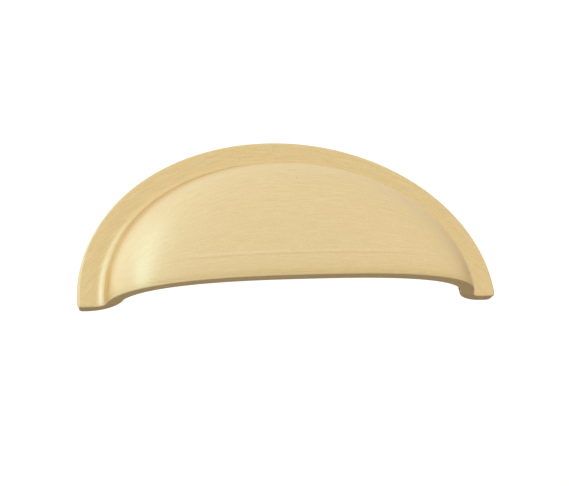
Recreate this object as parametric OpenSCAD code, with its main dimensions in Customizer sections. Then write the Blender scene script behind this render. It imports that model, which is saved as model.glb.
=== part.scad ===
// Cup pull for a drawer: one brass casting, a flat flange round a hollow hood
// that is open underneath, for the fingers, and at the back, which the drawer
// front closes. It is fixed from behind by two screws into bosses in the hood.
//
// Frame: the origin is midway between the two screw holes, on the back plane.
// The hood comes out along -Y, the pull is symmetric in X, and the lip and the
// two feet lie in one level plane below the screws.

/* [Overall size] */
// Width over the two feet
pull_w = 110; // [100:1:150]
// Height from the lip to the top of the flange
pull_h = 43.8; // [36:0.1:60]
// Distance from the drawer front to the front of the lip
pull_depth = 22.3; // [18:0.1:32]

/* [Flange] */
// Width of the flange at the feet, from its edge to the root of the hood
flange_w = 6.2; // [5:0.1:10]
// Width of the flange at the top
flange_top_w = 6.4; // [4.5:0.1:9]
// Thickness of the flange
flange_t = 3.4; // [2.4:0.1:5]
// Rounding of the flange's front edge
front_edge_r = 0.8; // [0.2:0.1:1.2]
// Rounding of the flange's back edge
back_edge_r = 1.2; // [0.2:0.1:1.2]
// How much is ground off the cast back, to make it flat
ground_off = 0.05; // [0.02:0.01:0.15]

/* [Hood] */
// Wall thickness of the hood
wall_t = 3.5; // [2.5:0.1:5]
// Fullness of the hood's section: 2 is an ellipse, higher is squarer
fullness = 2.65; // [2:0.05:3.2]
// Draft of the hood's side, from straight out, in degrees
draft = 4.6; // [1:0.1:8]
// Angle by which the hood, going out, drops towards the fingers
droop = 7; // [0:0.5:12]
// Radius of the hollow between flange and hood
root_r = 2; // [0.8:0.1:3]
// Radius of the rim round the opening at the back
rim_r = 7.5; // [2:0.1:8]

/* [Fixing screws] */
// Distance between the two screw holes
screw_spacing = 76.2; // [56:0.1:82]
// Height of the screw holes over the lip
screw_z = 12; // [8:0.1:16]
// Diameter of the bosses
boss_d = 8; // [6.5:0.1:9]
// Diameter of the tapped core of each hole
thread_core_d = 3.3; // [2.5:0.1:4.2]
// Depth of the full thread
thread_depth = 8; // [5:0.1:9]
// Angle of the drilled point at the bottom of each hole, in degrees
drill_point = 118; // [90:1:140]

/* [Hidden] */

// Steps along each curve of the section, and round its small arcs
curve_steps = 20;
arc_steps = 8;
// Passes that settle where the root's arc meets the hood
root_passes = 4;
// How far a cutting shape runs past what it cuts, in length and in angle
over = 2;
over_angle = 18;
// How far the root's arc runs on into the flange, so that they cross cleanly
root_sink = 0.02;
$fn = 96;

// Flange, hood and hollow are each turned about the Y axis and squeezed in height,
// each to its own height
half_w = pull_w / 2;
root_w = half_w - flange_w;
root_h = pull_h - flange_top_w;
hood_rise = pull_depth - flange_t;

// The hollow follows the hood at one wall's distance. It drops from the back plane
// on, and the hood from the flange's face on
hollow_w = root_w - wall_t;
hollow_h = root_h - wall_t + flange_t * tan(droop);
hollow_rise = hood_rise - wall_t;

// Half-width of the hood's section, w at its root, at a height above the
// flange's face. The section is a superellipse whose sides lean in by the draft
function section_w(w, rise, at) =
    (w - at * tan(draft)) * pow(1 - pow(at / rise, fullness), 1 / fullness);

// Angle of the section's side at that height, measured from the flange's face
function side_angle(w, rise, at, span = 0.01) =
    atan2(span, section_w(w, rise, at - span / 2) - section_w(w, rise, at + span / 2));

// Points of the section from a given height up to the crown, evenly turned
function section(w, rise, from) =
    let (start = asin(pow(from / rise, fullness / 2)))
    [for (i = [0 : curve_steps])
        let (turn = start + (90 - start) * i / curve_steps)
        let (at = rise * pow(sin(turn), 2 / fullness))
        [i == curve_steps ? 0 : section_w(w, rise, at), flange_t + at]];

// Points of an arc round a centre, from one direction to another
function arc(centre, r, from, to, steps = arc_steps) =
    [for (i = [0 : steps])
        let (turn = from + (to - from) * i / steps)
        centre + r * [cos(turn), sin(turn)]];

// Height over the flange at which the root's arc runs tangent into the hood's side
function root_top(passes, at = root_r) =
    passes == 0 ? at
    : root_top(passes - 1,
        root_r * (1 - cos(side_angle(root_w, hood_rise, at))) - root_sink);

// Section of the flange as it is cast, filled to the axis
module flange_section() {
    polygon(concat(
        [[0, -ground_off]],
        arc([half_w - back_edge_r, back_edge_r - ground_off], back_edge_r, -90, 0),
        arc([half_w - front_edge_r, flange_t - front_edge_r], front_edge_r, 0, 90),
        [[0, flange_t]]
    ));
}

// Section of the hood with the small hollow at its root, filled to the axis
module hood_section() {
    at = root_top(root_passes);
    angle = side_angle(root_w, hood_rise, at);
    root_x = section_w(root_w, hood_rise, at) + root_r * sin(angle);
    polygon(concat(
        [[0, flange_t / 2], [root_x, flange_t / 2]],
        arc([root_x, flange_t + root_r - root_sink], root_r, -90, -90 - angle),
        section(root_w, hood_rise, at)
    ));
}

// Section of the hollow, with the rounded rim where it meets the back plane
module hollow_section() {
    at = max(rim_r - ground_off - flange_t, 0);
    side_x = section_w(hollow_w, hollow_rise, at);
    polygon(concat(
        [[0, -over], [side_x + rim_r, -over]],
        arc([side_x + rim_r, rim_r - ground_off], rim_r, -90, -180),
        section(hollow_w, hollow_rise, at)
    ));
}

// Turns a section about the Y axis through the lip's plane, with its rise along
// -Y, and squeezes it so that what was the half-width w becomes the height h.
// It runs on below the lip at both ends, where the underside is cut level
module turned(w, h) {
    rotate([90, 0, 0])
        scale([1, h / w, 1])
            rotate([0, 0, -over_angle])
                rotate_extrude(angle = 180 + 2 * over_angle)
                    children();
}

// Lets what is turned drop as it goes out, starting at a distance from the back
module drooping(from) {
    multmatrix([
        [1, 0, 0, 0],
        [0, 1, 0, 0],
        [0, tan(droop), 1, from * tan(droop)],
        [0, 0, 0, 1]
    ])
        children();
}

// What is cut away below the lip and the feet, and ground off at the back
module outside_planes() {
    translate([-half_w - over, -pull_depth - over, -half_w])
        cube([pull_w + 2 * over, pull_depth + 2 * over, half_w]);
    translate([-half_w - over, 0, -half_w])
        cube([pull_w + 2 * over, over, half_w + pull_h + over]);
}

// Places its children at both screws, looking out from the back plane along -Y
module at_screws() {
    for (side = [-1, 1])
        translate([side * screw_spacing / 2, 0, screw_z])
            rotate([90, 0, 0])
                children();
}

module screw_hole() {
    point_h = thread_core_d / 2 / tan(drill_point / 2);
    translate([0, 0, -over])
        cylinder(d = thread_core_d, h = thread_depth + over);
    translate([0, 0, thread_depth])
        cylinder(d1 = thread_core_d, d2 = 0, h = point_h);
}

module cup_pull() {
    color("#e0c793")
    translate([0, 0, -screw_z])
    difference() {
        union() {
            turned(half_w, pull_h)
                flange_section();
            drooping(flange_t)
                turned(root_w, root_h)
                    hood_section();
        }
        // The bosses are what the hollow leaves standing
        difference() {
            drooping(0)
                turned(hollow_w, hollow_h)
                    hollow_section();
            at_screws()
                translate([0, 0, -2 * over])
                    cylinder(d = boss_d, h = pull_depth + 2 * over);
        }
        at_screws()
            screw_hole();
        outside_planes();
    }
}

cup_pull();
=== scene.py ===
import math
import bpy
from mathutils import Matrix, Vector


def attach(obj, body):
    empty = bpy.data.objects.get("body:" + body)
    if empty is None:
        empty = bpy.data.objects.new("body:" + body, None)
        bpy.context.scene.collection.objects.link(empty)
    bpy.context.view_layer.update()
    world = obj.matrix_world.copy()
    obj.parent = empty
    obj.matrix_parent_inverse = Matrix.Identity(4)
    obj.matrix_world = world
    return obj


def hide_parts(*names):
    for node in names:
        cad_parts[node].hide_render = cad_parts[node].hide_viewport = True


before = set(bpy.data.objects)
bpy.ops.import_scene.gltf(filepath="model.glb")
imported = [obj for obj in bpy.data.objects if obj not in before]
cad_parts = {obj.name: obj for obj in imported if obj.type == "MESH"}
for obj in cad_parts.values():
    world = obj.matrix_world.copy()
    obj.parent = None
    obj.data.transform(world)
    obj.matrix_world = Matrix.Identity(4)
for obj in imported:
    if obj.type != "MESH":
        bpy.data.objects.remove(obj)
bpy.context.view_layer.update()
print("frame loaded:", sorted(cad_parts))


# Numbers inside a node tree, written as sums

class Num:
    def __init__(self, tree, socket):
        self.tree, self.socket = tree, socket

    def math(self, operation, *others):
        node = self.tree.nodes.new("ShaderNodeMath")
        node.operation = operation
        for slot, item in zip(node.inputs, (self,) + others):
            plug(self.tree, item, slot)
        return Num(self.tree, node.outputs[0])

    def __add__(self, other): return self.math("ADD", other)
    def __sub__(self, other): return self.math("SUBTRACT", other)
    def __mul__(self, other): return self.math("MULTIPLY", other)
    def __truediv__(self, other): return self.math("DIVIDE", other)
    def __pow__(self, other): return self.math("POWER", other)
    def __rtruediv__(self, other): return self ** -1.0 * other
    def __neg__(self): return self.math("MULTIPLY", -1.0)
    def __radd__(self, other): return self + other
    def __rmul__(self, other): return self * other
    def __rsub__(self, other): return -self + other
    def __gt__(self, other): return self.math("GREATER_THAN", other)
    def __lt__(self, other): return self.math("LESS_THAN", other)
    def sin(self): return self.math("SINE")
    def cos(self): return self.math("COSINE")
    def tan(self): return self.math("TANGENT")
    def sqrt(self): return self.math("SQRT")
    def abs(self): return self.math("ABSOLUTE")
    def sign(self): return self.math("SIGN")
    def fract(self): return self.math("FRACT")
    def atLeast(self, other): return self.math("MAXIMUM", other)
    def atMost(self, other): return self.math("MINIMUM", other)
    def over(self, other): return self.math("ARCTAN2", other)     # angle with this tangent


def plug(tree, item, slot):
    if isinstance(item, Num):
        tree.links.new(item.socket, slot)
    elif isinstance(item, bpy.types.NodeSocket):
        tree.links.new(item, slot)
    else:
        slot.default_value = item


def addNode(tree, kind, settings=None, **inputs):
    node = tree.nodes.new(kind)
    for name, value in (settings or {}).items():
        setattr(node, name, value)
    for name, item in inputs.items():
        plug(tree, item, node.inputs[name.replace("_", " ")])
    return node


def vector(tree, x, y, z):
    return addNode(tree, "ShaderNodeCombineXYZ", X=x, Y=y, Z=z).outputs[0]


def parts(tree, socket):
    node = addNode(tree, "ShaderNodeSeparateXYZ", Vector=socket)
    return [Num(tree, out) for out in node.outputs]


def ease(tree, value, low, high):       # 0 below low, 1 above high, and a smooth rise between
    node = addNode(tree, "ShaderNodeMapRange", {"interpolation_type": "SMOOTHSTEP"})
    for slot, item in zip(node.inputs, (value, low, high, 0.0, 1.0)):
        plug(tree, item, slot)
    return Num(tree, node.outputs[0])


# The pull: one shell, made by a tree from its sizes in mm

pull = {
    "halfWidth": 55.0, "height": 43.79, "lipToScrews": 12.0,
    "flangeWidth": 6.2, "flangeTopWidth": 6.4, "flangeThick": 3.4,
    "frontRound": 0.5, "backRound": 1.2, "lipRound": 0.3,
    "footRound": 0.5, "footSlant": 1.7, "footCut": 0.6,
    "hoodRise": 18.888, "fullness": 2.65, "draft": 4.6, "droop": 7.0,
    "rootRise": 1.86, "wall": 3.5, "rimRound": 7.8,
    "screwSpacing": 76.2, "bossWidth": 8.0, "bossTaper": 0.06, "bossReach": 12.2,
    "bossSlantX": 0.625, "bossSlantZ": 0.4,
    "holeCore": 3.3, "threadDepth": 8.0, "threadPitch": 0.7, "threadCut": 0.38, "holeChamfer": 0.5,
    "drillPoint": 118.0,
}
# How finely each stretch of the section is divided, from the crown out to the back
outerSteps = {"hood": 44, "root": 9, "face": 8, "front": 5, "edge": 1, "back": 5}
rimSteps = 12
rings = sum(outerSteps.values())
hollowSteps = rings - rimSteps - 1      # the last step is the flat back, from rim to edge
roundRows = 4                           # rows over the rounding of lip and feet
bossSides = 72
tapSides, tapRows, tapEntry = 48, 128, 1.0      # the tap starts this far outside the back
weldDistance = 0.0005
sharpAngle = 32                         # degrees; an edge with a sharper bend is shaded crisp


def newTree(name, sizes):
    tree = bpy.data.node_groups.new(name, "GeometryNodeTree")
    tree.interface.new_socket("Geometry", in_out="OUTPUT", socket_type="NodeSocketGeometry")
    for size in sizes:
        tree.interface.new_socket(size, in_out="INPUT", socket_type="NodeSocketFloat")
    given = tree.nodes.new("NodeGroupInput")
    return tree, {size: Num(tree, given.outputs[size]) for size in sizes}


def pick(tree, test, yes, no):
    node = addNode(tree, "GeometryNodeSwitch", {"input_type": "FLOAT"})
    for slot, item in zip(node.inputs, (test, no, yes)):
        plug(tree, item, slot)
    return Num(tree, node.outputs[0])


def superWidth(root, at, rise, fullness, lean):     # half-width of the hood at a height over its root
    return (root - at * lean) * (1 - (at / rise) ** fullness) ** (1 / fullness)


def makeSection(tree, count, segments):
    # One point for each ring: half-width, depth and half-height, from the crown outwards
    index = Num(tree, addNode(tree, "GeometryNodeInputIndex").outputs[0])
    width, depth, height = segments[0][1](index)
    start = segments[0][0]
    for steps, rule in segments[1:]:
        share = (index - start) / steps
        w, d, h = rule(share)
        later = index > start + 0.5
        width, depth, height = (pick(tree, later, w, width), pick(tree, later, d, depth),
                                pick(tree, later, h, height))
        start += steps
    line = addNode(tree, "GeometryNodeMeshLine", Count=count)
    place = addNode(tree, "GeometryNodeSetPosition", Geometry=line.outputs[0],
                    Position=vector(tree, width, depth, height))
    return place.outputs[0]


def makeSheet(tree, section, size, sink, inward):
    # Turns the section over the half circle, and lets it sink by what sink says for each depth.
    # Ring after ring is a half square of the grid, so that the crown has no crowded pole, and
    # the last rows round the edge over the lip's plane
    lipRound, footRound, halfWidth = size["lipRound"], size["footRound"], size["halfWidth"]
    grid = addNode(tree, "GeometryNodeMeshGrid", Size_X=2.0 * rings, Size_Y=float(rings + roundRows),
                   Vertices_X=2 * rings + 1, Vertices_Y=rings + roundRows + 1)
    across, up, _ = parts(tree, addNode(tree, "GeometryNodeInputPosition").outputs[0])
    up = up + (rings + roundRows) / 2 - roundRows
    rise = up.atLeast(0.0)
    ring = across.abs().atLeast(rise)

    def sample(at):
        node = addNode(tree, "GeometryNodeSampleIndex", {"data_type": "FLOAT_VECTOR", "clamp": True},
                       Geometry=section, Value=addNode(tree, "GeometryNodeInputPosition").outputs[0])
        plug(tree, (at + 0.5).math("FLOOR"), node.inputs["Index"])
        return parts(tree, node.outputs[0])

    def lipTurn(height, down):      # the turn at which a ring comes up through the lip's rounding
        return ((down + lipRound) / height).atMost(1.0).math("ARCSINE")

    def lipPoint(at):               # where the section's point lies in the lip's plane
        width, depth, height = sample(at.abs())
        return width * lipTurn(height, sink(at.abs(), depth)).cos() * at.sign(), depth

    width, depth, height = sample(ring)
    down = sink(ring, depth)
    first = lipTurn(height, down)
    turn = first + rise.over(across) * (1 - first * (2 / math.pi))
    x = width * turn.cos() * (ring > 0.5)
    z = lipRound + height * (turn.sin() - first.sin())
    # The rounding: a quarter circle that sinks into the metal, square to the section
    bend = (-up).atLeast(0.0) * (math.pi / 2 / roundRows)
    nextX, nextDepth = lipPoint(across + 1)
    lastX, lastDepth = lipPoint(across - 1)
    runX, runDepth = nextX - lastX, nextDepth - lastDepth
    run = (runX * runX + runDepth * runDepth).sqrt()
    inset = lipRound * (1 - bend.cos()) * inward
    last = across.abs() > rings - 0.5
    x = x + inset * pick(tree, last, 0.0, runDepth / run)
    depth = depth + pick(tree, last, inset * inward, -(inset * runX / run))
    z = z - lipRound * bend.sin()
    # The feet's outer corners are rounded in front, and ground off in a slant behind
    behind = (1 - depth / size["flangeThick"]).atLeast(0.0).atMost(1.0)
    low = (1 - z / (footRound + behind * size["footSlant"])).atLeast(0.0).atMost(1.0)
    corner = ease(tree, x.abs(), halfWidth - 4.0, halfWidth - 1.3)
    cut = (1 - (1 - low * low).sqrt()) * (1 - behind) * footRound + low * behind * size["footCut"]
    x = x - x.sign() * corner * cut
    place = addNode(tree, "GeometryNodeSetPosition", Geometry=grid.outputs[0],
                    Position=vector(tree, x, -depth, z))
    return place.outputs[0]


def weld(tree, piece):
    return addNode(tree, "GeometryNodeMergeByDistance", Geometry=piece, Distance=weldDistance).outputs[0]


def merge(tree, *pieces):
    join = tree.nodes.new("GeometryNodeJoinGeometry")
    for piece in pieces:
        tree.links.new(piece, join.inputs[0])
    return weld(tree, join.outputs[0])


def flip(tree, piece):
    return addNode(tree, "GeometryNodeFlipFaces", Mesh=piece).outputs[0]


def makeBoss(tree, size, side):
    # A cylinder from the back plane into the hood, a little wider and cut at a slant in its wall
    body = addNode(tree, "GeometryNodeMeshCylinder", {"fill_type": "NGON"}, Vertices=bossSides,
                   Radius=size["bossWidth"] / 2, Depth=1.0)
    x, y, z = parts(tree, addNode(tree, "GeometryNodeInputPosition").outputs[0])
    deep = z + 0.5
    x = x * (1 + deep * size["bossTaper"])
    y = y * (1 + deep * size["bossTaper"])
    reach = size["bossReach"] - x * side * size["bossSlantX"] - y * size["bossSlantZ"]
    place = addNode(tree, "GeometryNodeSetPosition", Geometry=body.outputs["Mesh"],
                    Position=vector(tree, x + size["screwSpacing"] * 0.5 * side, -(deep * reach),
                                    y + size["lipToScrews"]))
    return place.outputs[0]


def makeTap(tree, size, side):
    # The threaded hole as a solid: entry, chamfer, thread, then the drill's cone
    grid = addNode(tree, "GeometryNodeMeshGrid", Size_X=1.0, Size_Y=1.0,
                   Vertices_X=tapSides + 1, Vertices_Y=tapRows + 1)
    u, v, _ = parts(tree, addNode(tree, "GeometryNodeInputPosition").outputs[0])
    turn, row = u + 0.5, (v + 0.5) * tapRows
    core = size["holeCore"] / 2
    cone = core / (size["drillPoint"] * (math.pi / 360)).tan()
    # Row 0 lies on the axis outside, row 1 on the rim outside, then down the bore to the axis
    bore = ((row - 1) / (tapRows - 2.0)).atLeast(0.0).atMost(1.0)
    deep = bore * (size["threadDepth"] + tapEntry) - tapEntry
    phase = (deep / size["threadPitch"] - turn).fract()
    crest = (1.18 - (phase * 2 - 1).abs() * 1.5).atLeast(0.0).atMost(1.0)     # flat on top
    fade = 1 - ease(tree, deep, size["threadDepth"] - 0.9, size["threadDepth"] - 0.1)
    radius = core + size["threadCut"] * crest * fade
    radius = radius.atLeast(core + size["threadCut"] + size["holeChamfer"] - deep.atLeast(0.0))
    radius = radius * (row > 0.5) * (row < tapRows - 0.5)
    deep = deep + (row > tapRows - 0.5) * cone
    angle = turn * (2 * math.pi)
    place = addNode(tree, "GeometryNodeSetPosition", Geometry=grid.outputs[0],
                    Position=vector(tree, size["screwSpacing"] * 0.5 * side + radius * angle.cos(),
                                    -deep, size["lipToScrews"] + radius * angle.sin()))
    return weld(tree, place.outputs[0])


def boolean(tree, operation, main, *others):
    node = addNode(tree, "GeometryNodeMeshBoolean", {"operation": operation, "solver": "MANIFOLD"})
    plug(tree, main, node.inputs["Mesh 1" if operation == "DIFFERENCE" else "Mesh 2"])
    for other in others:
        plug(tree, other, node.inputs["Mesh 2"])
    return node.outputs["Mesh"]


def makePullTree(material):
    tree, size = newTree("cupPull", pull)
    lean = (size["draft"] * (math.pi / 180)).tan()
    drop = (size["droop"] * (math.pi / 180)).tan()
    halfWidth, height, thick = size["halfWidth"], size["height"], size["flangeThick"]
    full = size["fullness"]
    rootX, rootZ = halfWidth - size["flangeWidth"], height - size["flangeTopWidth"]
    drawn = rootZ / rootX           # the flange is a true outline, the hood a squeezed turn
    hollowX = rootX - size["wall"]
    hollowZ = rootZ - size["wall"] + thick * drop
    hollowRise = size["hoodRise"] - size["wall"]

    def sunk(start, outer):
        # How far a ring has dropped at its depth. The hollow's flat back doesn't drop
        def rule(ring, depth):
            fall = (depth - start) * drop
            return fall.atLeast(0.0) if outer else pick(tree, ring > rings - 0.5, 0.0, fall)
        return rule

    def crownTurn(z, rise, fall):
        # Where the dropping section crosses the lip's plane in the middle
        left = ((fall + size["lipRound"]) / (z - rise * lean * z / rootX)) ** full
        return ((1 - left).sqrt()).math("ARCSINE")

    def hoodPoint(share, startAt, x, z, rise, fall):
        # share 0 at the crown, 1 where the hood starts; evenly turned in between
        first = ((startAt / rise) ** (full / 2)).math("ARCSINE")
        crown = crownTurn(z, rise, fall)
        turn = crown - share * (crown - first)
        at = rise * turn.sin() ** (2 / full)
        width = superWidth(x, at, rise, full, lean)
        return width, thick + at, width * (z / x)

    # Radius and centre of the small hollow at the root, tangent to face and hood
    there = superWidth(rootX, size["rootRise"], size["hoodRise"], full, lean)
    slope = (there - superWidth(rootX, size["rootRise"] + 0.01, size["hoodRise"], full, lean)) / 0.01
    rootAngle = math.pi / 2 - slope.math("ARCTANGENT")
    rootR = size["rootRise"] / (1 - rootAngle.cos())
    faceX = there + rootR * rootAngle.sin()
    faceZ = faceX * drawn

    def hood(index):
        return hoodPoint(index / outerSteps["hood"], size["rootRise"], rootX, rootZ,
                         size["hoodRise"], size["hoodRise"] * drop)

    def root(share):
        angle = rootAngle * (1 - share)
        width = faceX - rootR * angle.sin()
        return width, thick + rootR * (1 - angle.cos()), width * drawn

    def face(share):
        r = size["frontRound"]
        return (faceX + share * (halfWidth - r - faceX), thick + share * 0.0,
                faceZ + share * (height - r - faceZ))

    def front(share):
        r, turn = size["frontRound"], share * (math.pi / 2)
        return (halfWidth - r * (1 - turn.sin()), thick - r * (1 - turn.cos()),
                height - r * (1 - turn.sin()))

    def edge(share):
        low = size["backRound"]
        return (halfWidth + share * 0.0, low + (thick - size["frontRound"] - low) * (1 - share),
                height + share * 0.0)

    def back(share):
        r, turn = size["backRound"], share * (math.pi / 2)
        return (halfWidth - r * (1 - turn.cos()), r * (1 - turn.sin()), height - r * (1 - turn.cos()))

    outerRules = dict(hood=hood, root=root, face=face, front=front, edge=edge, back=back)
    outerSection = makeSection(tree, rings + 1, [(outerSteps[k], outerRules[k]) for k in outerSteps])

    rimAt = size["rimRound"] - thick
    rimX = superWidth(hollowX, rimAt, hollowRise, full, lean)

    def hollow(index):
        return hoodPoint(index / hollowSteps, rimAt, hollowX, hollowZ, hollowRise,
                         (hollowRise + thick) * drop)

    def rim(share):
        r, turn = size["rimRound"], share * (math.pi / 2)
        width = rimX + r * (1 - turn.cos())
        return width, r * (1 - turn.sin()), width * (hollowZ / hollowX)

    def flat(share):
        return (halfWidth - size["backRound"] + share * 0.0, share * 0.0, height - size["backRound"])

    hollowSection = makeSection(tree, rings + 1, [(hollowSteps, hollow), (rimSteps, rim), (1, flat)])

    outside = makeSheet(tree, outerSection, size, sunk(thick, True), 1)
    inside = flip(tree, makeSheet(tree, hollowSection, size, sunk(0.0, False), -1))
    shell = merge(tree, outside, inside)
    # The underside of the lip and the feet closes what is still open
    neighbours = Num(tree, addNode(tree, "GeometryNodeInputMeshEdgeNeighbors").outputs[0])
    loop = addNode(tree, "GeometryNodeMeshToCurve", Mesh=shell, Selection=neighbours < 1.5)
    under = addNode(tree, "GeometryNodeFillCurve", {"mode": "TRIANGLES"}, Curve=loop.outputs[0])
    shell = merge(tree, shell, flip(tree, under.outputs[0]))

    bosses = [makeBoss(tree, size, side) for side in (-1, 1)]
    taps = [makeTap(tree, size, side) for side in (-1, 1)]
    shell = boolean(tree, "UNION", shell, *bosses)
    shell = boolean(tree, "DIFFERENCE", shell, *taps)

    # Level faces are shaded flat, so that roundings don't tint them; sharp corners stay sharp
    normal = parts(tree, addNode(tree, "GeometryNodeInputNormal").outputs[0])
    level = normal[2] < -0.9999
    toBack = normal[1] > 0.9999
    smooth = addNode(tree, "GeometryNodeSetShadeSmooth", {"domain": "FACE"}, Geometry=shell,
                     Shade_Smooth=1 - level.atLeast(toBack))
    angle = Num(tree, addNode(tree, "GeometryNodeInputMeshEdgeAngle").outputs["Unsigned Angle"])
    crisp = addNode(tree, "GeometryNodeSetShadeSmooth", {"domain": "EDGE"},
                    Geometry=smooth.outputs[0], Shade_Smooth=angle < math.radians(sharpAngle))
    metres = addNode(tree, "GeometryNodeTransform", Geometry=crisp.outputs[0], Scale=(0.001,) * 3)
    plug(tree, vector(tree, 0.0, 0.0, size["lipToScrews"] * -0.001), metres.inputs["Translation"])
    realize = addNode(tree, "GeometryNodeRealizeInstances", Geometry=metres.outputs[0])
    dress = addNode(tree, "GeometryNodeSetMaterial", Geometry=realize.outputs[0], Material=material)
    tree.links.new(dress.outputs[0], tree.nodes.new("NodeGroupOutput").inputs[0])
    return tree


def growPiece(name, tree, sizes):
    # Runs the tree on an empty mesh, and keeps the result as a plain mesh
    seed = bpy.data.objects.new(name + "Seed", bpy.data.meshes.new(name + "Seed"))
    bpy.context.scene.collection.objects.link(seed)
    modifier = seed.modifiers.new("grow", "NODES")
    modifier.node_group = tree
    for item in tree.interface.items_tree:
        if item.item_type == "SOCKET" and item.in_out == "INPUT" and item.name in sizes:
            modifier[item.identifier] = float(sizes[item.name])
    grown = bpy.data.meshes.new_from_object(seed.evaluated_get(bpy.context.evaluated_depsgraph_get()))
    seed.modifiers.remove(modifier)
    bpy.data.objects.remove(seed)
    grown.name = name
    piece = bpy.data.objects.new(name, grown)
    bpy.context.scene.collection.objects.link(piece)
    return piece


# Satin brass, brushed. On the hood the strokes run from foot to foot, on the flange they
# fan out over the top, and inside the hood the metal is dark and rougher.
# Lengths are in mm, with heights over the lip
finish = {
    "hoodColor": (0.80, 0.62, 0.33), "flangeColor": (0.785, 0.59, 0.29),
    # the root's colour and reach: a paler colour painted into the hollow at the hood's root as a
    # highlight
    "insideColor": (0.17, 0.13, 0.07), "rootHighlightColor": (0.92, 0.79, 0.51), "rootHighlightReach": 3.7,
    "roughness": 0.38, "roughSpread": 0.12, "castRoughness": 0.62, "anisotropic": 0.6,
    # Strokes: fine ones, broad streaks, and the satin grain that breaks them up
    "strokeWidth": 0.22, "strokeLength": 4.5, "streakWidth": 0.8, "streakLength": 18.0,
    "streakShare": 0.25, "satinGrain": 0.3, "flangeGrit": 0.42, "hoodGrit": 0.34,
    "strokeDark": 0.92, "strokeLight": 1.065, "strokeDepth": 0.006, "flangeContrast": 1.45,
    "castGrain": 0.5, "castDepth": 0.12,
    # Where the strokes run: round a level line inside the hood, and about a point far below
    "hubHeight": 4.5, "hubOut": 6.8, "hubSpread": 28.0, "hubSpreadNear": 10.0,
    "hubReach": (8.0, 20.0), "fanCentre": -66.7, "fanSquash": 1.43,
    # The faint line over the lip with its painted shade and highlight, the painted shade below it, the
    # lip's painted highlight, a speck
    "grooveHeight": 5.75, "grooveWidth": 0.35, "grooveDepth": 0.025, "grooveReach": 36.0,
    "grooveFade": 12.0, "grooveShade": 0.05, "grooveGlint": 0.045,
    "bandShade": 0.04, "lipBand": (0.5, 2.4), "lipShade": 0.05,
    "edgeHighlight": 0.12, "edgeHeight": 0.55,
    "speckAt": (1.83, 28.25), "speckWidth": 0.32, "speckShade": 0.35,
}


def streaks(tree, along, across, width, length, seed):
    # Long thin noise: one number over the surface, about 0.5 in the mean
    noise = addNode(tree, "ShaderNodeTexNoise", {"noise_dimensions": "3D", "normalize": True},
                    Vector=vector(tree, along / length, across / width, seed),
                    Scale=1.0, Detail=3.0, Roughness=0.6)
    return Num(tree, noise.outputs[0])


def mix(tree, share, low, high, kind="RGBA"):
    node = addNode(tree, "ShaderNodeMix", {"data_type": kind})
    first, out = {"VECTOR": (4, 1), "RGBA": (6, 2)}[kind]       # the mix node's sockets of that kind
    plug(tree, share, node.inputs[0])
    plug(tree, (*low, 1) if isinstance(low, tuple) else low, node.inputs[first])
    plug(tree, (*high, 1) if isinstance(high, tuple) else high, node.inputs[first + 1])
    return node.outputs[out]


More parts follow.
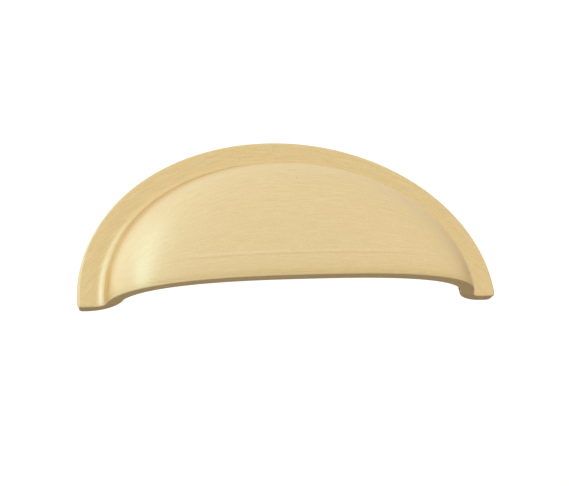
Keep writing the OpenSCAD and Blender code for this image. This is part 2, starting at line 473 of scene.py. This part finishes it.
def makeBrass():
    material = bpy.data.materials.new("satinBrass")
    material.use_nodes = True
    tree = material.node_tree
    shader = tree.nodes["Principled BSDF"]
    here = addNode(tree, "ShaderNodeTexCoord").outputs["Object"]
    x, y, z = [item * 1000 for item in parts(tree, here)]
    z = z + pull["lipToScrews"]
    out = -y - pull["flangeThick"]              # how far out from the flange's face
    fall = math.tan(math.radians(pull["droop"]))
    high = z + out * fall                       # height as if the hood didn't droop

    # On the hood a stroke keeps its angle about a level line inside the hood's ends
    hubHigh, hubOut = high - finish["hubHeight"], out - finish["hubOut"]
    reach = (hubHigh * hubHigh + hubOut * hubOut).sqrt()
    turn = hubHigh.over(hubOut)
    far = ease(tree, reach, *finish["hubReach"])
    spread, spreadNear = turn * finish["hubSpread"], turn * finish["hubSpreadNear"]
    broadShare = finish["streakShare"]
    wide = streaks(tree, x, spread, finish["strokeWidth"], finish["strokeLength"], 1.0)
    close = streaks(tree, x, spreadNear, finish["strokeWidth"], finish["strokeLength"], 2.0)
    broad = streaks(tree, x, spread, finish["streakWidth"], finish["streakLength"], 3.0)
    hoodStroke = (close + (wide - close) * far) * (1 - broadShare) + broad * broadShare

    # On the flange a stroke keeps its distance from a point far below the pull
    rise = z - finish["fanCentre"]
    fan = (rise * rise + x * x * finish["fanSquash"]).sqrt()
    fine = streaks(tree, x, fan, finish["strokeWidth"], finish["strokeLength"], 4.0)
    coarse = streaks(tree, x, fan, finish["streakWidth"], finish["streakLength"], 5.0)
    flangeStroke = fine * (1 - broadShare) + coarse * broadShare
    flangeStroke = (flangeStroke - 0.5) * finish["flangeContrast"] + 0.5

    onHood = ease(tree, out, 0.3, 1.5)
    satin = addNode(tree, "ShaderNodeTexNoise", Vector=vector(tree, x, y, z),
                    Scale=1 / finish["satinGrain"], Detail=2.0)
    stroke = flangeStroke + (hoodStroke - flangeStroke) * onHood
    grit = finish["flangeGrit"] + onHood * (finish["hoodGrit"] - finish["flangeGrit"])
    stroke = stroke + (Num(tree, satin.outputs[0]) - stroke) * grit
    # The gloss spreads across the strokes
    across = mix(tree, onHood, vector(tree, x * finish["fanSquash"], 0.0, rise),
                 vector(tree, 0.0, hubHigh - hubOut * fall, hubOut), "VECTOR")
    tree.links.new(across, shader.inputs["Tangent"])

    # Inside the hood: within the middle of its wall, and above the milled underside
    rootX, rootZ = pull["halfWidth"] - pull["flangeWidth"], pull["height"] - pull["flangeTopWidth"]
    girth = (x * x + (high * (rootX / rootZ)) ** 2.0).sqrt()
    core = (girth / (rootX - pull["wall"] / 2)) ** pull["fullness"]
    core = core + (out.atLeast(0.0) / (pull["hoodRise"] - pull["wall"] / 2)) ** pull["fullness"]
    cast = (core < 1) * (z > pull["lipRound"]) * (y < -0.02)
    grain = addNode(tree, "ShaderNodeTexNoise", Vector=vector(tree, x, y, z),
                    Scale=1 / finish["castGrain"], Detail=3.0)

    # A faint line runs along the hood, a little over the lip: a shallow bump, with painted shade on it
    off = (z - finish["grooveHeight"]) / finish["grooveWidth"]
    fadeFrom = finish["grooveReach"] - finish["grooveFade"]
    fading = (1 - ease(tree, x.abs(), fadeFrom, finish["grooveReach"])) * onHood
    groove = (1 - off.abs().atMost(1.0) ** 2.0) * fading
    # Just over the line lies a painted highlight, which fades to the right
    glint = (1 - (off * 0.6 - 1.3).abs().atMost(1.0)) * fading
    glint = glint * (1 - ease(tree, x, -20.0, 40.0) * 0.7)

    # Painted highlight in the hollow at the hood's root: the colour there is made paler, at the feet
    # on the flange's side too, and along the right, but not at the upper left
    facing = parts(tree, addNode(tree, "ShaderNodeTexCoord").outputs["Normal"])[2] > -0.9   # not under
    highlightAtFoot = ease(tree, out, 0.02, 0.5) * (1 - ease(tree, z, 4.0, 14.0)) * 0.5
    upperLeft = ease(tree, z, 12.0, 22.0) * (1 - ease(tree, x, -10.0, 20.0))
    paintedRootHighlight = (highlightAtFoot + (1 - highlightAtFoot) * onHood) * (1 - ease(tree, out, 1.0, finish["rootHighlightReach"]))
    paintedRootHighlight = paintedRootHighlight * (1 - upperLeft) * facing
    tint = mix(tree, onHood, finish["flangeColor"], finish["hoodColor"])
    # mixed toward the root's painted highlight
    tint = mix(tree, paintedRootHighlight, tint, finish["rootHighlightColor"])
    shade = ease(tree, stroke, 0.32, 0.68) * (finish["strokeLight"] - finish["strokeDark"])
    # the strokes, less the painted shade along the line, plus the painted highlight over it
    shade = shade + finish["strokeDark"] - groove * finish["grooveShade"] + glint * finish["grooveGlint"]
    # Painted shade: the band under the line is darker, and darker still close to the lip
    band = (1 - ease(tree, z, 0.0, finish["grooveHeight"])) * finish["bandShade"]
    band = band + (1 - ease(tree, z, *finish["lipBand"])) * finish["lipShade"]
    shade = shade - band * onHood * (y < -pull["flangeThick"])
    # A painted highlight runs along the lip's front edge, most of all at the left, and there is one dark
    # speck
    edge = (1 - ease(tree, z, 0.1, finish["edgeHeight"])) * onHood * facing
    shade = shade + edge * finish["edgeHighlight"] * (1 - ease(tree, x, -38.0, 10.0) * 0.75)
    speckX, speckZ = x - finish["speckAt"][0], z - finish["speckAt"][1]
    speck = 1 - ease(tree, (speckX * speckX + speckZ * speckZ).sqrt(), 0.0, finish["speckWidth"])
    shade = shade * (1 - speck * (y < 0) * finish["speckShade"])
    # A darker stroke is a yellower one: blue falls the most, and red the least
    brushed = addNode(tree, "ShaderNodeVectorMath", {"operation": "MULTIPLY"})
    plug(tree, tint, brushed.inputs[0])
    plug(tree, vector(tree, shade, shade ** 1.2, shade * shade), brushed.inputs[1])
    color = mix(tree, cast, brushed.outputs[0], finish["insideColor"])
    tree.links.new(color, shader.inputs["Base Color"])

    rough = finish["roughness"] + (stroke - 0.5) * finish["roughSpread"]
    plug(tree, rough + (finish["castRoughness"] - rough) * cast, shader.inputs["Roughness"])
    shader.inputs["Metallic"].default_value = 1.0
    shader.inputs["Anisotropic"].default_value = finish["anisotropic"]

    height = stroke * finish["strokeDepth"] - groove * finish["grooveDepth"]
    height = height + (Num(tree, grain.outputs[0]) * finish["castDepth"] - height) * cast
    bump = addNode(tree, "ShaderNodeBump", Strength=1.0, Distance=0.001, Height=height)
    tree.links.new(bump.outputs[0], shader.inputs["Normal"])
    return material


brass = makeBrass()
print("satin brass mixed")
pullPiece = growPiece("brassCupPull", makePullTree(brass), pull)
print("pull made:", len(pullPiece.data.vertices), "vertices,", len(pullPiece.data.polygons), "faces")
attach(pullPiece, "root")
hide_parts("cup_pull")


# The camera, from the fit to the photograph

camera = {
    "azimuth": 17.03, "elevation": 20.49, "roll": 7.52, "distance": 1.0,
    "lens": 249.42, "aim": (-0.00154, -0.01002, 0.001313),
}


def makeCamera():
    a, e, roll = (math.radians(camera[k]) for k in ("azimuth", "elevation", "roll"))
    back = Vector((-math.sin(a) * math.cos(e), -math.cos(a) * math.cos(e), -math.sin(e)))
    level = Vector((math.cos(a), -math.sin(a), 0))
    upright = back.cross(level)
    right = level * math.cos(roll) - upright * math.sin(roll)
    up = level * math.sin(roll) + upright * math.cos(roll)
    data = bpy.data.cameras.new("camera")
    data.lens, data.sensor_width = camera["lens"], 36.0
    data.clip_start, data.clip_end = 0.05, 50.0
    eye = bpy.data.objects.new("camera", data)
    turn = Matrix((right, up, back)).transposed().to_4x4()
    eye.matrix_world = Matrix.Translation(Vector(camera["aim"]) + back * camera["distance"]) @ turn
    bpy.context.scene.collection.objects.link(eye)
    bpy.context.scene.camera = eye


makeCamera()
print("camera made")


# The studio: a pale floor well below the pull, white surroundings and a softbox

studio = {
    "floorDrop": 0.62, "floorSize": 24.0, "floorColor": (0.74, 0.73, 0.71),
    "lowTone": (0.80, 0.79, 0.78), "lowFrom": -0.05, "lowTo": 0.2,
    "patches": [
        # name, direction, spread in degrees, colour added to the white or taken from it
        ("left", (-0.75, -0.10, 0.65), 30, (0.12, 0.22, 0.38)),
        ("leftBehind", (-0.45, 0.55, 0.70), 28, (0.18, 0.23, 0.28)),
        ("rightBehind", (0.80, 0.52, 0.26), 19.5, (-0.46, -0.51, -0.58)),
        ("backdrop", (0.27, 0.90, 0.35), 12, (0.14, 0.14, 0.14)),
    ],
    "lamps": [
        # name, place, width, height, power, colour
        ("softbox", (-0.60, -0.50, 0.50), 0.26, 1.0, 0.80, (0.26, 0.62, 1.0)),
    ],
    "cards": [
        # name, place, width, height, colour: a dark card, to shade the underside
        ("lowCard", (0.15, 0.50, -0.28), 1.5, 0.60, (0.325, 0.268, 0.225)),
    ],
}


def makeSheetOfPaper(name, width, height, color):
    mesh = bpy.data.meshes.new(name)
    x, y = width / 2, height / 2
    mesh.from_pydata([(-x, -y, 0), (x, -y, 0), (x, y, 0), (-x, y, 0)], [], [(0, 1, 2, 3)])
    paint = bpy.data.materials.new(name + "Paint")
    paint.use_nodes = True
    shader = paint.node_tree.nodes["Principled BSDF"]
    shader.inputs["Base Color"].default_value = (*color, 1)
    shader.inputs["Roughness"].default_value = 0.8
    mesh.materials.append(paint)
    sheet = bpy.data.objects.new(name, mesh)
    bpy.context.scene.collection.objects.link(sheet)
    return sheet


def faceCentre(thing, place):
    thing.location = place
    thing.rotation_euler = (-Vector(place)).to_track_quat("-Z", "Y").to_euler()


def makeStudio():
    floor = makeSheetOfPaper("studioFloor", studio["floorSize"], studio["floorSize"],
                             studio["floorColor"])
    floor.location.z = -studio["floorDrop"]
    for name, place, width, height, color in studio["cards"]:
        card = makeSheetOfPaper(name, width, height, color)
        faceCentre(card, place)
        # Only the brass sees the cards
        card.visible_camera = card.visible_diffuse = card.visible_shadow = False

    world = bpy.data.worlds.new("studioWorld")
    world.use_nodes = True
    # White all round, with soft patches, and fading into the floor's tone near the horizon
    tree = world.node_tree
    toX, toY, toZ = parts(tree, addNode(tree, "ShaderNodeTexCoord").outputs["Generated"])
    sky = mix(tree, ease(tree, toZ, studio["lowFrom"], studio["lowTo"]), studio["lowTone"],
              (1.0, 1.0, 1.0))
    for name, direction, spread, color in studio["patches"]:
        to = Vector(direction).normalized()
        turned = (toX * to.x + toY * to.y + toZ * to.z - 1) / math.radians(spread) ** 2
        patch = addNode(tree, "ShaderNodeVectorMath", {"operation": "MULTIPLY_ADD", "label": name})
        strength = turned.math("EXPONENT")
        for slot, item in zip(patch.inputs, (vector(tree, strength, strength, strength), color, sky)):
            plug(tree, item, slot)
        sky = patch.outputs[0]
    tree.links.new(sky, tree.nodes["Background"].inputs["Color"])
    bpy.context.scene.world = world

    for name, place, width, height, power, color in studio["lamps"]:
        data = bpy.data.lights.new(name, "AREA")
        data.shape, data.size, data.size_y, data.energy = "RECTANGLE", width, height, power
        data.color = color
        lamp = bpy.data.objects.new(name, data)
        faceCentre(lamp, place)
        bpy.context.scene.collection.objects.link(lamp)


makeStudio()
bpy.context.scene.view_settings.view_transform = "Standard"
print("studio made")
